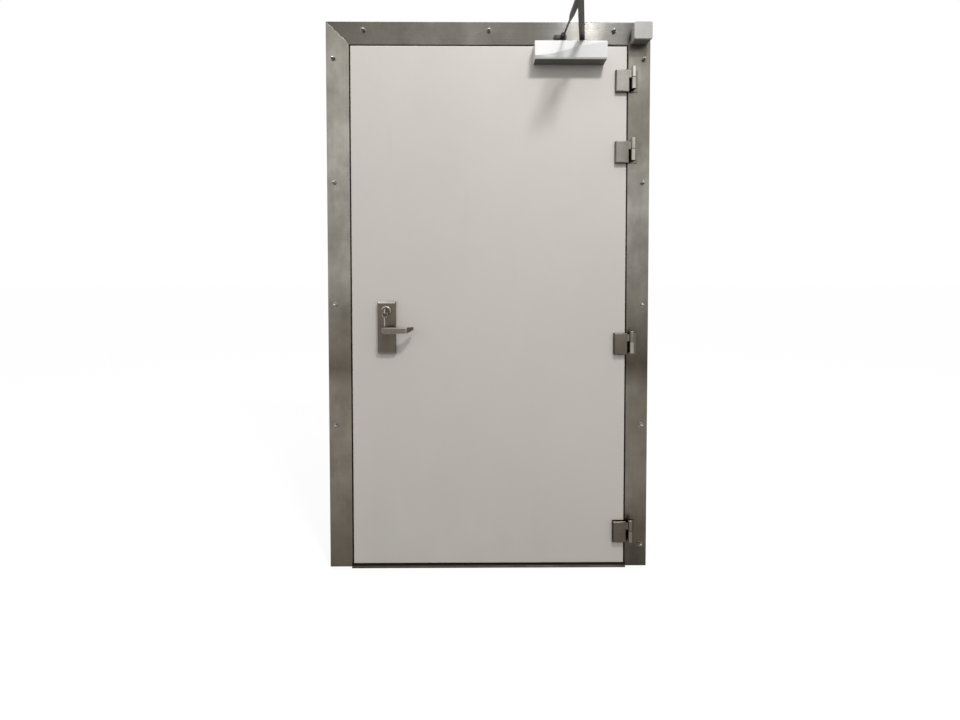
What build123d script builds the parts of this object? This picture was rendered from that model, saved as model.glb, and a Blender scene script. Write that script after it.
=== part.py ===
"""Cold storage door: insulated flush leaf in a stainless casing, with a closer and lever set.

Frame of reference: millimetres, +Z up, the door's face looks along -Y.
The origin is at floor level on the wall's face, straight behind the hinge axis (x = 0).
"""

import os
from math import cos, pi

from build123d import *

os.makedirs("parts", exist_ok=True)

# Doorway and casing
opening_width = 1135.5
opening_height = 2152.0
wall_thickness = 100.0
latch_casing_width = 93.5
hinge_casing_width = 91.0
head_casing_width = 92.0
casing_standoff = 25.0
casing_sheet = 3.0
casing_bend = 4.0
casing_return = 22.0
lining_thickness = 14.0
stop_width = 34.0

# Wall bolts: holes through the casing and the frame member behind it
bolt_hole_radius = 5.5
bolt_line = 64.0
bolt_rows = 5
lowest_bolt = 92.0
top_bolt_drop = 56.0
head_bolt_line = 57.0
head_bolt_end = 59.0

# Threshold
threshold_thickness = 7.0
threshold_nose = 13.0
threshold_bevel = 4.0

# Leaf: a front flange and a narrower plug behind it
leaf_gap = 4.5
leaf_bottom = 12.0
flange_thickness = 30.0
plug_thickness = 70.0
plug_inset = 40.0
skin = 2.0
leaf_edge_radius = 4.0
gasket_width = 22.0
gasket_thickness = 14.0
gasket_inset = 4.0
seal_clearance = 0.5
sweep_thickness = 10.0
sweep_inset = 12.0

# Hinges: two knuckles on a pin, the upper one on the leaf, the lower one on a plate on the casing
hinge_offset = 17.0
hinge_proud = 22.0
hinge_end = 143.0
second_hinge_drop = 287.0
bottom_hinge_end = 138.0
middle_hinge_rise = 784.0
strap_width = 53.0
strap_height = 88.0
strap_thickness = 18.0
strap_bevel = 3.5
strap_slope = 2.5
strap_slope_width = 26.0
knuckle_radius = 9.5
knuckle_rise = 10.5
upper_knuckle = 43.0
lower_knuckle = 45.0
knuckle_gap = 2.4
knuckle_bevel = 2.0
neck_thickness = 8.0
neck_seat = 6.0
foot_width = 13.0
foot_plate_width = 34.0
foot_plate_thickness = 3.0
foot_plate_gap = 5.0
pin_radius = 5.0
pin_sides = 12
pin_length = 32.0
pin_clearance = 0.2
pin_end_clearance = 0.3

# Closer housing
closer_length = 285.0
closer_height = 73.0
closer_depth = 68.0
closer_drop = 2.5
closer_end = 100.5
closer_top_lean = 12.0
closer_bottom_lean = 5.0
closer_lip = 5.0
crease_low = 0.15
crease_high = 0.85
crease_sections = 7

# Closer arms, each level in Z above the top of the leaf
pinion_end = 195.0
pinion_depth = 35.0
pinion_radius = 9.0
pinion_sides = 6
pinion_seat = 10.0
pinion_clearance = 0.3
arm_rise = 8.5
arm_thickness = 7.0
arm_hub_radius = 11.0
arm_tip_radius = 11.0
arm_screw_radius = 6.5
arm_screw_height = 4.0
elbow_end = 257.0
elbow_depth = 337.0
elbow_clearance = 0.5
elbow_boss_radius = 8.5
elbow_boss = 12.0
forearm_thickness = 8.0
forearm_eye_radius = 8.0
forearm_rod_radius = 3.5
forearm_bar_radius = 8.5
forearm_rod_share = 0.40
forearm_flare_share = 0.53
shoe_end = 267.0
shoe_offset = 11.0
shoe_depth = 22.0
shoe_width = 53.0
shoe_height = 15.0
shoe_corner = 7.0
shoe_plate = 6.0
shoe_lug = 6.0
shoe_lug_radius = 8.5
shoe_pin_radius = 3.5
shoe_pin_clearance = 0.2

# Lock trim
trim_backset = 145.5
trim_width = 72.0
trim_height = 215.0
trim_drop = 100.0
trim_thickness = 20.0
trim_bevel = 8.0
trim_side_bevel = 2.5
inside_trim_thickness = 12.0
lever_height = 995.0
lever_hub_radius = 12.0
lever_projection = 65.0
lever_thickness = 12.0
lever_bar_height = 25.5
lever_end_height = 23.5
lever_tip_height = 12.0
lever_tip_rise = 5.5
lever_edge = 3.0
lever_length = 111.5
lever_return = 24.0
lever_return_run = 24.0
lever_seat = 6.0
lever_clearance = 0.3
spindle_width = 9.0
spindle_hole_radius = 7.5
cylinder_rise = 76.0
cylinder_radius = 20.0
cylinder_proud = 11.0
cylinder_bevel = 3.0
cylinder_plug_radius = 10.0
cylinder_step = 2.5
keyway_depth = 9.0

# Keys
key_thickness = 2.4
bow_sides = 8
key_bow_radius = 10.5
key_neck = 6.0
key_shank = 5.5
key_clearance = 0.3
key_hole_radius = 3.0
key_hole_edge = 5.0
ring_radius = 11.0
ring_wire_radius = 1.1
ring_sides = 24
ring_clearance = 0.3
spare_bow_radius = 9.0
spare_blade = 20.0
spare_blade_width = 7.0
spare_notches = 3
spare_notch = 2.0
spare_notch_pitch = 4.5

# Latch edge
latch_plate_height = 200.0
latch_plate_width = 16.0
strike_height = 130.0
strike_width = 16.0
strike_depth = 13.0
latch_slot_height = 28.0
latch_slot_width = 10.0

# Junction box on the casing
box_width = 73.0
box_height = 70.0
box_base_depth = 48.0
box_lid_depth = 8.0
box_draft = 4.0
box_corner = 8.0
box_lid_bevel = 2.5
box_hinge_side = 9.0

# Derived places
face_y = -casing_standoff
return_y = face_y + casing_return
hinge_edge = -hinge_offset
latch_edge = hinge_edge - opening_width
doorway_x = (hinge_edge + latch_edge) / 2
hinge_outer = hinge_edge + hinge_casing_width
latch_outer = latch_edge - latch_casing_width
casing_top = opening_height + head_casing_width
axis_y = face_y - hinge_proud
shoulder_y = face_y + flange_thickness
stop_y = shoulder_y + gasket_thickness + seal_clearance
plug_back_y = shoulder_y + plug_thickness

leaf_hinge_x = hinge_edge - leaf_gap
leaf_latch_x = latch_edge + leaf_gap
leaf_width = leaf_hinge_x - leaf_latch_x
leaf_x = (leaf_hinge_x + leaf_latch_x) / 2
leaf_top = opening_height - leaf_gap
leaf_height = leaf_top - leaf_bottom
leaf_z = (leaf_top + leaf_bottom) / 2

trim_x = leaf_latch_x + trim_backset
trim_z = lever_height - trim_drop + trim_height / 2
cylinder_height = lever_height + cylinder_rise
pinion_x = hinge_edge - pinion_end
pinion_y = face_y - pinion_depth
elbow_x = hinge_edge - elbow_end
elbow_y = face_y - elbow_depth
shoe_x = hinge_edge - shoe_end
shoe_y = face_y - shoe_depth
closer_x1 = hinge_edge - closer_end
closer_x0 = closer_x1 - closer_length
closer_top = leaf_top - closer_drop
arm_z = leaf_top + arm_rise
forearm_z = arm_z + arm_thickness + elbow_boss + elbow_clearance
shoe_lug_z = forearm_z + forearm_thickness + elbow_clearance

top_hinge = leaf_top - hinge_end
bottom_hinge = leaf_bottom + bottom_hinge_end
hinge_heights = (
    top_hinge,
    top_hinge - second_hinge_drop,
    bottom_hinge + middle_hinge_rise,
    bottom_hinge,
)

bolt_pitch = (opening_height - top_bolt_drop - lowest_bolt) / (bolt_rows - 1)
head_bolt_spacing = opening_width / 2 - head_bolt_end
side_bolts = [lowest_bolt + bolt_pitch * row for row in range(bolt_rows)]
latch_bolts = side_bolts[1:]

face = Plane.XZ.offset(casing_standoff)


def face_plane(y):
    """A plane parallel to the wall at depth y, with its normal towards -Y."""
    return Plane.XZ.offset(-y)


def finish(builder, name):
    """Label a finished piece and write its STEP file."""
    builder.part.label = name
    export_step(builder.part, f"parts/{name}.step")


def mitre(edge_x, run):
    """The mitre plane of a top corner, its normal towards the side casing."""
    side = 1.0 if run > 0 else -1.0
    return Plane(
        origin=(edge_x, 0, opening_height),
        x_dir=(0, 1, 0),
        z_dir=(side * head_casing_width, 0, -abs(run)),
    )


hinge_mitre = mitre(hinge_edge, hinge_casing_width)
latch_mitre = mitre(latch_edge, -latch_casing_width)


def channel_points(inner, outer, way):
    """Casing channel section: (across the casing, depth), from its inner to its outer edge."""
    return [
        (inner, return_y),
        (inner, face_y),
        (outer, face_y),
        (outer, 0),
        (outer - way * casing_sheet, 0),
        (outer - way * casing_sheet, face_y + casing_sheet),
        (inner + way * casing_sheet, face_y + casing_sheet),
        (inner + way * casing_sheet, return_y),
    ]


def member_points(inner, outer, way):
    """Frame member section behind the casing: wall flange, lining and door stop."""
    wall_edge = inner + way * lining_thickness
    stop_edge = inner - way * stop_width
    return [
        (inner + way * casing_sheet, face_y + casing_sheet),
        (outer - way * casing_sheet, face_y + casing_sheet),
        (outer - way * casing_sheet, 0),
        (wall_edge, 0),
        (wall_edge, wall_thickness),
        (stop_edge, wall_thickness),
        (stop_edge, stop_y),
        (inner, stop_y),
        (inner, return_y),
        (inner + way * casing_sheet, return_y),
    ]


def bolt_holes(places):
    """Bolt holes on the casing's face, at (x, z) places."""
    with BuildSketch(face) as holes:
        with Locations(*places):
            Circle(bolt_hole_radius)
    return holes.sketch


def build_casing_side(name, inner, outer, way, plane, bolts, strike):
    """A side casing: folded channel, mitred at the top; returned for the cores to fit."""
    with BuildPart() as casing:
        with BuildSketch(Plane.XY):
            with BuildLine():
                Polyline(*channel_points(inner, outer, way), close=True)
            make_face()
        extrude(amount=casing_top)
        bends = casing.edges().filter_by(Axis.Z).group_by(Axis.Y)[0]
        fillet(bends, casing_bend)
        split(bisect_by=plane, keep=Keep.TOP)
        bolt_x = inner + way * bolt_line
        holes = bolt_holes([(bolt_x, z) for z in bolts])
        extrude(holes, amount=-casing_standoff, mode=Mode.SUBTRACT)
        if strike:
            with BuildSketch(Plane.YZ.offset(inner)):
                with Locations((strike_y, lever_height)):
                    Rectangle(strike_width, strike_height)
            extrude(amount=way * casing_sheet, mode=Mode.SUBTRACT)
    finish(casing, name)
    return casing.part


strike_y = face_y + strike_depth

casing_hinge_side = build_casing_side(
    "casing_hinge_side", hinge_edge, hinge_outer, 1, hinge_mitre, side_bolts, False
)
casing_latch_side = build_casing_side(
    "casing_latch_side", latch_edge, latch_outer, -1, latch_mitre, latch_bolts, True
)

head_bolts = [
    (doorway_x + head_bolt_spacing * place, opening_height + head_bolt_line)
    for place in (-1, 0, 1)
]

with BuildPart() as casing_head:
    with BuildSketch(Plane.YZ.offset(latch_outer)):
        with BuildLine():
            points = channel_points(opening_height, casing_top, 1)
            Polyline(*[(depth, across) for across, depth in points], close=True)
        make_face()
    extrude(amount=hinge_outer - latch_outer)
    bends = casing_head.edges().filter_by(Axis.X).group_by(Axis.Y)[0]
    fillet(bends, casing_bend)
    split(bisect_by=hinge_mitre, keep=Keep.BOTTOM)
    split(bisect_by=latch_mitre, keep=Keep.BOTTOM)
    extrude(bolt_holes(head_bolts), amount=-casing_standoff, mode=Mode.SUBTRACT)
finish(casing_head, "casing_head")

# Insulated frame members: the head lies over both sides
with BuildPart() as core_head:
    with BuildSketch(Plane.YZ.offset(latch_outer + casing_sheet)):
        with BuildLine():
            points = member_points(opening_height, casing_top, 1)
            Polyline(*[(depth, across) for across, depth in points], close=True)
        make_face()
    extrude(amount=hinge_outer - latch_outer - 2 * casing_sheet)
    wall_edges = (latch_edge - lining_thickness, hinge_edge + lining_thickness)
    with BuildSketch(Plane.XY):
        for edge, outer in zip(wall_edges, (latch_outer, hinge_outer)):
            with Locations(((edge + outer) / 2, wall_thickness / 2)):
                Rectangle(abs(outer - edge), wall_thickness)
    extrude(amount=casing_top, mode=Mode.SUBTRACT)
    add([casing_hinge_side, casing_latch_side], mode=Mode.SUBTRACT)
    extrude(bolt_holes(head_bolts), amount=-casing_standoff, mode=Mode.SUBTRACT)
finish(core_head, "core_head")


def build_core_side(name, inner, outer, way, bolts):
    """A side member, cut to fit under the head member."""
    with BuildPart() as core:
        with BuildSketch(Plane.XY):
            with BuildLine():
                Polyline(*member_points(inner, outer, way), close=True)
            make_face()
        extrude(amount=opening_height + casing_sheet)
        add([core_head.part, casing_head.part], mode=Mode.SUBTRACT)
        bolt_x = inner + way * bolt_line
        holes = bolt_holes([(bolt_x, z) for z in bolts])
        extrude(holes, amount=-casing_standoff, mode=Mode.SUBTRACT)
    finish(core, name)


build_core_side("core_hinge_side", hinge_edge, hinge_outer, 1, side_bolts)
build_core_side("core_latch_side", latch_edge, latch_outer, -1, latch_bolts)

# Threshold: wide in front of the stops, narrower between them
with BuildPart() as threshold:
    with BuildSketch(Plane.XY):
        front_depth = stop_y - face_y
        with Locations((doorway_x, (face_y + stop_y) / 2)):
            Rectangle(opening_width, front_depth)
        with Locations((doorway_x, face_y - threshold_nose / 2)):
            Rectangle(opening_width, threshold_nose)
        with Locations((doorway_x, (stop_y + wall_thickness) / 2)):
            Rectangle(opening_width - 2 * stop_width, wall_thickness - stop_y)
    extrude(amount=threshold_thickness)
    nose = threshold.edges().filter_by(Axis.X).group_by(Axis.Z)[-1].sort_by(Axis.Y)[0]
    chamfer(nose, threshold_bevel)
finish(threshold, "threshold")

with BuildPart() as strike_plate:
    with BuildSketch(Plane.YZ.offset(latch_edge)):
        with Locations((strike_y, lever_height)):
            Rectangle(strike_width, strike_height)
            Rectangle(latch_slot_width, latch_slot_height, mode=Mode.SUBTRACT)
    extrude(amount=-casing_sheet)
finish(strike_plate, "strike_plate")


def leaf_outline(inset, at):
    """A rectangle on the leaf's outline, set in by one width all round."""
    with BuildSketch(face_plane(at)) as outline:
        with Locations((leaf_x, leaf_z)):
            Rectangle(leaf_width - 2 * inset, leaf_height - 2 * inset)
    return outline.sketch


def spindle_hole(at):
    """The spindle's hole through a layer of the leaf that starts at depth y."""
    with BuildSketch(face_plane(at)) as hole:
        with Locations((trim_x, lever_height)):
            Circle(spindle_hole_radius)
    return hole.sketch


with BuildPart() as leaf_front_skin:
    extrude(leaf_outline(0, face_y), amount=-flange_thickness)
    fillet(leaf_front_skin.faces().sort_by(Axis.Y)[0].edges(), leaf_edge_radius)
    extrude(leaf_outline(skin, face_y + skin), amount=-flange_thickness, mode=Mode.SUBTRACT)
    extrude(spindle_hole(face_y), amount=-skin, mode=Mode.SUBTRACT)
    with BuildSketch(Plane.YZ.offset(leaf_latch_x)):
        with Locations((strike_y, lever_height)):
            Rectangle(latch_plate_width, latch_plate_height)
    extrude(amount=skin, mode=Mode.SUBTRACT)
finish(leaf_front_skin, "leaf_front_skin")

with BuildPart() as leaf_core:
    extrude(leaf_outline(skin, face_y + skin), amount=-(flange_thickness - skin))
    plug_core = leaf_outline(plug_inset + skin, shoulder_y)
    extrude(plug_core, amount=-(plug_thickness - skin))
    leaf_depth = flange_thickness + plug_thickness
    extrude(spindle_hole(face_y), amount=-leaf_depth, mode=Mode.SUBTRACT)
finish(leaf_core, "leaf_core")

with BuildPart() as leaf_back_skin:
    extrude(leaf_outline(plug_inset, shoulder_y), amount=-plug_thickness)
    fillet(leaf_back_skin.faces().sort_by(Axis.Y)[-1].edges(), leaf_edge_radius)
    extrude(plug_core, amount=-(plug_thickness - skin), mode=Mode.SUBTRACT)
    extrude(spindle_hole(plug_back_y - skin), amount=-skin, mode=Mode.SUBTRACT)
finish(leaf_back_skin, "leaf_back_skin")

# Gasket on the leaf's shoulder: both sides and the top, closed against the stop
with BuildPart() as leaf_gasket:
    extrude(leaf_outline(gasket_inset, shoulder_y), amount=-gasket_thickness)
    with BuildSketch(face_plane(shoulder_y)):
        hole_bottom = leaf_bottom
        hole_top = leaf_top - gasket_inset - gasket_width
        with Locations((leaf_x, (hole_bottom + hole_top) / 2)):
            Rectangle(leaf_width - 2 * (gasket_inset + gasket_width), hole_top - hole_bottom)
    extrude(amount=-gasket_thickness, mode=Mode.SUBTRACT)
finish(leaf_gasket, "leaf_gasket")

with BuildPart() as leaf_sweep:
    sweep_bottom = threshold_thickness + seal_clearance
    with BuildSketch(Plane.XY.offset(sweep_bottom)):
        with Locations((leaf_x, face_y + sweep_inset + sweep_thickness / 2)):
            Rectangle(leaf_width - 2 * sweep_inset, sweep_thickness)
    extrude(amount=leaf_bottom - sweep_bottom)
finish(leaf_sweep, "leaf_sweep")

with BuildPart() as latch_plate:
    with BuildSketch(Plane.YZ.offset(leaf_latch_x)):
        with Locations((strike_y, lever_height)):
            Rectangle(latch_plate_width, latch_plate_height)
    extrude(amount=skin)
finish(latch_plate, "latch_plate")


def build_hinge_strap(number, height):
    """The leaf's half of a hinge: bevelled cover block, neck and upper knuckle."""
    knuckle_bottom = height + knuckle_rise + knuckle_gap / 2
    strap_end = hinge_edge - strap_width
    strap_bottom = height - strap_height / 2
    strap_top = height + strap_height / 2
    front_y = face_y - strap_thickness
    bevel_y = front_y + strap_bevel
    with BuildPart() as strap:
        with BuildSketch(Plane.XY.offset(strap_bottom)):
            with BuildLine():
                Polyline(
                    (strap_end, face_y),
                    (strap_end, bevel_y),
                    (strap_end + strap_bevel, front_y),
                    (hinge_edge - strap_slope_width, front_y),
                    (hinge_edge, front_y + strap_slope),
                    (hinge_edge, face_y),
                    close=True,
                )
            make_face()
        extrude(amount=strap_height)
        with BuildSketch(Plane.YZ.offset(strap_end)):
            with BuildLine():
                Polyline(
                    (face_y, strap_bottom),
                    (bevel_y, strap_bottom),
                    (front_y, strap_bottom + strap_bevel),
                    (front_y, strap_top - strap_bevel),
                    (bevel_y, strap_top),
                    (face_y, strap_top),
                    close=True,
                )
            make_face()
        extrude(amount=strap_width, mode=Mode.INTERSECT)
        with BuildSketch(Plane.XY.offset(knuckle_bottom)):
            with Locations((0, axis_y)):
                Circle(knuckle_radius)
        extrude(amount=upper_knuckle)
        rims = strap.edges().filter_by(GeomType.CIRCLE).sort_by(Axis.Z)
        chamfer(rims[-1], knuckle_bevel)
        neck_y = front_y + strap_slope
        with BuildSketch(Plane.XY.offset(knuckle_bottom)):
            with BuildLine():
                Polyline(
                    (hinge_edge - neck_seat, neck_y + neck_thickness),
                    (hinge_edge - neck_seat, neck_y),
                    (hinge_edge, neck_y),
                    (0, axis_y),
                    (0, axis_y + knuckle_radius),
                    (hinge_edge, neck_y + neck_thickness),
                    close=True,
                )
            make_face()
        extrude(amount=strap_top - strap_bevel - knuckle_bottom)
        with BuildSketch(Plane.XY.offset(knuckle_bottom)):
            with Locations((0, axis_y)):
                RegularPolygon(pin_radius + pin_clearance, pin_sides, major_radius=False)
        extrude(amount=pin_length - knuckle_gap + pin_end_clearance, mode=Mode.SUBTRACT)
    finish(strap, f"hinge_{number}_strap")


def build_hinge_foot(number, height):
    """The casing's half of a hinge: plate, lower knuckle on its foot, and the pin."""
    knuckle_top = height + knuckle_rise - knuckle_gap / 2
    plate_x = hinge_edge + foot_plate_gap + foot_plate_width / 2
    with BuildPart() as foot:
        with BuildSketch(face):
            with Locations((plate_x, height)):
                Rectangle(foot_plate_width, strap_height)
        extrude(amount=foot_plate_thickness)
        with BuildSketch(Plane.XY.offset(knuckle_top - lower_knuckle)):
            with Locations((0, axis_y)):
                Circle(knuckle_radius)
            with Locations((0, (axis_y + face_y) / 2)):
                Rectangle(foot_width, hinge_proud)
        extrude(amount=lower_knuckle)
        with BuildSketch(Plane.XY.offset(knuckle_top)):
            with Locations((0, axis_y)):
                RegularPolygon(pin_radius, pin_sides)
        extrude(amount=pin_length)
    finish(foot, f"hinge_{number}_foot")


for hinge_number, hinge_height in enumerate(hinge_heights, 1):
    build_hinge_strap(hinge_number, hinge_height)
    build_hinge_foot(hinge_number, hinge_height)

# Closer housing: sections along X, with a crease that rises in an S from left to right
lip_y = face_y - closer_depth + closer_bottom_lean
with BuildPart() as closer_housing:
    for section in range(crease_sections):
        share = section / (crease_sections - 1)
        rise = crease_low + (crease_high - crease_low) * (1 - cos(pi * share)) / 2
        with BuildSketch(Plane.YZ.offset(closer_x0 + closer_length * share)):
            with BuildLine():
                Polyline(
                    (face_y, closer_top - closer_height),
                    (face_y, closer_top),
                    (face_y - closer_depth + closer_top_lean, closer_top),
                    (face_y - closer_depth, closer_top - closer_height * (1 - rise)),
                    (lip_y, closer_top - closer_height + closer_lip),
                    (lip_y + closer_lip, closer_top - closer_height),
                    close=True,
                )
            make_face()
    loft()
    with BuildSketch(Plane.XY.offset(closer_top)):
        with Locations((pinion_x, pinion_y)):
            Circle(pinion_radius + pinion_clearance)
    extrude(amount=-pinion_seat, mode=Mode.SUBTRACT)
finish(closer_housing, "closer_housing")

with BuildPart() as closer_pinion:
    pinion_bottom = closer_top - pinion_seat + pinion_clearance
    with BuildSketch(Plane.XY.offset(pinion_bottom)):
        with Locations((pinion_x, pinion_y)):
            RegularPolygon(pinion_radius, pinion_sides)
    extrude(amount=arm_z - pinion_bottom)
finish(closer_pinion, "closer_pinion")

# Main arm: a tapered bar from the pinion to the elbow
with BuildPart() as closer_arm:
    with BuildSketch(Plane.XY.offset(arm_z)):
        with Locations((pinion_x, pinion_y)):
            Circle(arm_hub_radius)
        with Locations((elbow_x, elbow_y)):
            Circle(arm_tip_radius)
        make_hull()
    extrude(amount=arm_thickness)
    with BuildSketch(Plane.XY.offset(arm_z + arm_thickness)):
        with Locations((pinion_x, pinion_y)):
            Circle(arm_screw_radius)
    extrude(amount=arm_screw_height)
    with BuildSketch(Plane.XY.offset(arm_z + arm_thickness)):
        with Locations((elbow_x, elbow_y)):
            Circle(elbow_boss_radius)
    extrude(amount=elbow_boss)
finish(closer_arm, "closer_arm")


def along_forearm(share):
    """A point on the forearm's line: 0 at the shoe, 1 at the elbow."""
    return (shoe_x + (elbow_x - shoe_x) * share, shoe_y + (elbow_y - shoe_y) * share)


# Forearm: an eye and rod at the shoe, sliding in a flat bar at the elbow
with BuildPart() as closer_forearm:
    with BuildSketch(Plane.XY.offset(forearm_z)):
        with Locations((shoe_x, shoe_y)):
            Circle(forearm_eye_radius)
    extrude(amount=forearm_thickness)
    rod_start = Vector(shoe_x, shoe_y, forearm_z + forearm_thickness / 2)
    rod_axis = Vector(elbow_x - shoe_x, elbow_y - shoe_y, 0)
    with BuildSketch(Plane(origin=rod_start, z_dir=rod_axis)):
        Circle(forearm_rod_radius)
    extrude(amount=rod_axis.length * forearm_flare_share)
    with BuildSketch(Plane.XY.offset(forearm_z)):
        with Locations(along_forearm(forearm_rod_share)):
            Circle(forearm_rod_radius)
        with Locations(along_forearm(forearm_flare_share)):
            Circle(forearm_bar_radius)
        make_hull()
    extrude(amount=forearm_thickness)
    with BuildSketch(Plane.XY.offset(forearm_z)):
        with Locations(along_forearm(forearm_flare_share)):
            Circle(forearm_bar_radius)
        with Locations((elbow_x, elbow_y)):
            Circle(arm_tip_radius)
        make_hull()
    extrude(amount=forearm_thickness)
    with BuildSketch(Plane.XY.offset(forearm_z)):
        with Locations((shoe_x, shoe_y)):
            Circle(shoe_pin_radius + shoe_pin_clearance)
    extrude(amount=forearm_thickness, mode=Mode.SUBTRACT)
finish(closer_forearm, "closer_forearm")

# Shoe on the head casing, with the forearm's pin under its lug
with BuildPart() as closer_shoe:
    with BuildSketch(face):
        with Locations((shoe_x - shoe_offset, shoe_lug_z + shoe_lug - shoe_height / 2)):
            RectangleRounded(shoe_width, shoe_height, shoe_corner)
    extrude(amount=shoe_plate)
    with BuildSketch(Plane.XY.offset(shoe_lug_z)):
        with Locations((shoe_x, shoe_y)):
            Circle(shoe_lug_radius)
        with Locations((shoe_x, (shoe_y + face_y) / 2)):
            Rectangle(2 * shoe_lug_radius, shoe_depth)
    extrude(amount=shoe_lug)
    with BuildSketch(Plane.XY.offset(forearm_z)):
        with Locations((shoe_x, shoe_y)):
            Circle(shoe_pin_radius)
    extrude(amount=shoe_lug_z - forearm_z)
finish(closer_shoe, "closer_shoe")


def build_trim(name, base_y, outward, thickness):
    """A trim plate with bevelled ends, bored for the lever's hub."""
    with BuildPart() as trim:
        with BuildSketch(face_plane(base_y)):
            with Locations((trim_x, trim_z)):
                Rectangle(trim_width, trim_height)
        extrude(amount=-outward * thickness)
        outer = trim.faces().sort_by(Axis.Y)[-1 if outward > 0 else 0]
        chamfer(outer.edges().filter_by(Axis.X), trim_bevel)
        outer = trim.faces().sort_by(Axis.Y)[-1 if outward > 0 else 0]
        chamfer(outer.edges().filter_by(Axis.Z), trim_side_bevel)
        with BuildSketch(face_plane(base_y)):
            with Locations((trim_x, lever_height)):
                Circle(lever_hub_radius + lever_clearance)
        extrude(amount=-outward * thickness, mode=Mode.SUBTRACT)
    finish(trim, name)


build_trim("trim_outside", face_y, -1, trim_thickness)
build_trim("trim_inside", plug_back_y, 1, inside_trim_thickness)


def build_lever(name, base_y, outward, thickness):
    """A lever: hub in the trim's bore, tapered bar and a tip that returns to the leaf."""
    seat_y = base_y + outward * (thickness - lever_seat)
    front_y = base_y + outward * lever_projection
    back_y = front_y - outward * lever_thickness
    tip_x = trim_x + lever_length
    bend_x = tip_x - lever_return_run
    tip_y = back_y - outward * lever_return
    tip_z = lever_height + lever_tip_rise
    bar_round = lever_bar_height / 2
    with BuildPart() as lever:
        with BuildSketch(Plane.XY.offset(lever_height - bar_round)):
            with BuildLine():
                Polyline(
                    (trim_x - bar_round, front_y),
                    (bend_x, front_y),
                    (tip_x, tip_y + outward * lever_thickness),
                    (tip_x, tip_y),
                    (bend_x - lever_thickness / 2, back_y),
                    (trim_x - bar_round, back_y),
                    close=True,
                )
            make_face()
        extrude(amount=lever_bar_height)
        with BuildSketch(face_plane(front_y)):
            with Locations((trim_x, lever_height)):
                Circle(bar_round)
            with BuildLine():
                Polyline(
                    (trim_x, lever_height - bar_round),
                    (bend_x, lever_height - lever_end_height / 2),
                    (tip_x, tip_z - lever_tip_height / 2),
                    (tip_x, tip_z + lever_tip_height / 2),
                    (bend_x, lever_height + lever_end_height / 2),
                    (trim_x, lever_height + bar_round),
                    close=True,
                )
            make_face()
        extrude(amount=outward * (lever_thickness + lever_return), mode=Mode.INTERSECT)
        front = lever.faces().sort_by(Axis.Y)[-1 if outward > 0 else 0]
        chamfer(front.edges().sort_by(Axis.X)[:-1], lever_edge)
        with BuildSketch(face_plane(seat_y)):
            with Locations((trim_x, lever_height)):
                Circle(lever_hub_radius)
        extrude(amount=-(back_y - seat_y))
    finish(lever, name)


build_lever("lever_outside", face_y, -1, trim_thickness)
build_lever("lever_inside", plug_back_y, 1, inside_trim_thickness)

with BuildPart() as lever_spindle:
    spindle_start = face_y - trim_thickness + lever_seat
    spindle_end = plug_back_y + inside_trim_thickness - lever_seat
    with BuildSketch(face_plane(spindle_start)):
        with Locations((trim_x, lever_height)):
            Rectangle(spindle_width, spindle_width)
    extrude(amount=-(spindle_end - spindle_start))
finish(lever_spindle, "lever_spindle")

# Lock cylinder: a bevelled collar and the plug with its keyway
trim_face_y = face_y - trim_thickness
key_face_y = trim_face_y - cylinder_proud
collar_y = key_face_y + cylinder_step
with BuildPart() as lock_cylinder:
    with BuildSketch(Plane.YZ.offset(trim_x)):
        with BuildLine():
            Polyline(
                (trim_face_y, cylinder_height),
                (trim_face_y, cylinder_height + cylinder_radius),
                (collar_y + cylinder_bevel, cylinder_height + cylinder_radius),
                (collar_y, cylinder_height + cylinder_radius - cylinder_bevel),
                (collar_y, cylinder_height + cylinder_plug_radius),
                (key_face_y, cylinder_height + cylinder_plug_radius),
                (key_face_y, cylinder_height),
                close=True,
            )
        make_face()
    revolve(axis=Axis((trim_x, 0, cylinder_height), (0, 1, 0)))
    with BuildSketch(face_plane(key_face_y)):
        with Locations((trim_x, cylinder_height)):
            Rectangle(key_thickness + 2 * key_clearance, key_neck + 2 * key_clearance)
    extrude(amount=-keyway_depth, mode=Mode.SUBTRACT)
finish(lock_cylinder, "lock_cylinder")

# Key in the lock: its bow stands upright in front of the cylinder
bow_y = key_face_y - key_shank - key_bow_radius
blade_y = key_face_y + keyway_depth - key_clearance
key_hole_y = bow_y - key_bow_radius + key_hole_edge
with BuildPart() as key:
    with BuildSketch(Plane.YZ.offset(trim_x)):
        with Locations((bow_y, cylinder_height)):
            RegularPolygon(key_bow_radius, bow_sides)
        with Locations(((blade_y + bow_y) / 2, cylinder_height)):
            Rectangle(blade_y - bow_y, key_neck)
        with Locations((key_hole_y, cylinder_height)):
            Circle(key_hole_radius, mode=Mode.SUBTRACT)
    extrude(amount=key_thickness / 2, both=True)
finish(key, "key")

# Split ring through the key's bow, and the spare key that hangs from it
ring_top_z = cylinder_height - key_hole_radius + ring_wire_radius + ring_clearance
ring_z = ring_top_z - ring_radius
with BuildPart() as key_ring:
    with BuildSketch(face_plane(key_hole_y)):
        with Locations((trim_x, ring_z)):
            RegularPolygon(ring_radius + ring_wire_radius, ring_sides, major_radius=False)
            RegularPolygon(ring_radius - ring_wire_radius, ring_sides, mode=Mode.SUBTRACT)
    extrude(amount=ring_wire_radius, both=True)
finish(key_ring, "key_ring")

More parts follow.
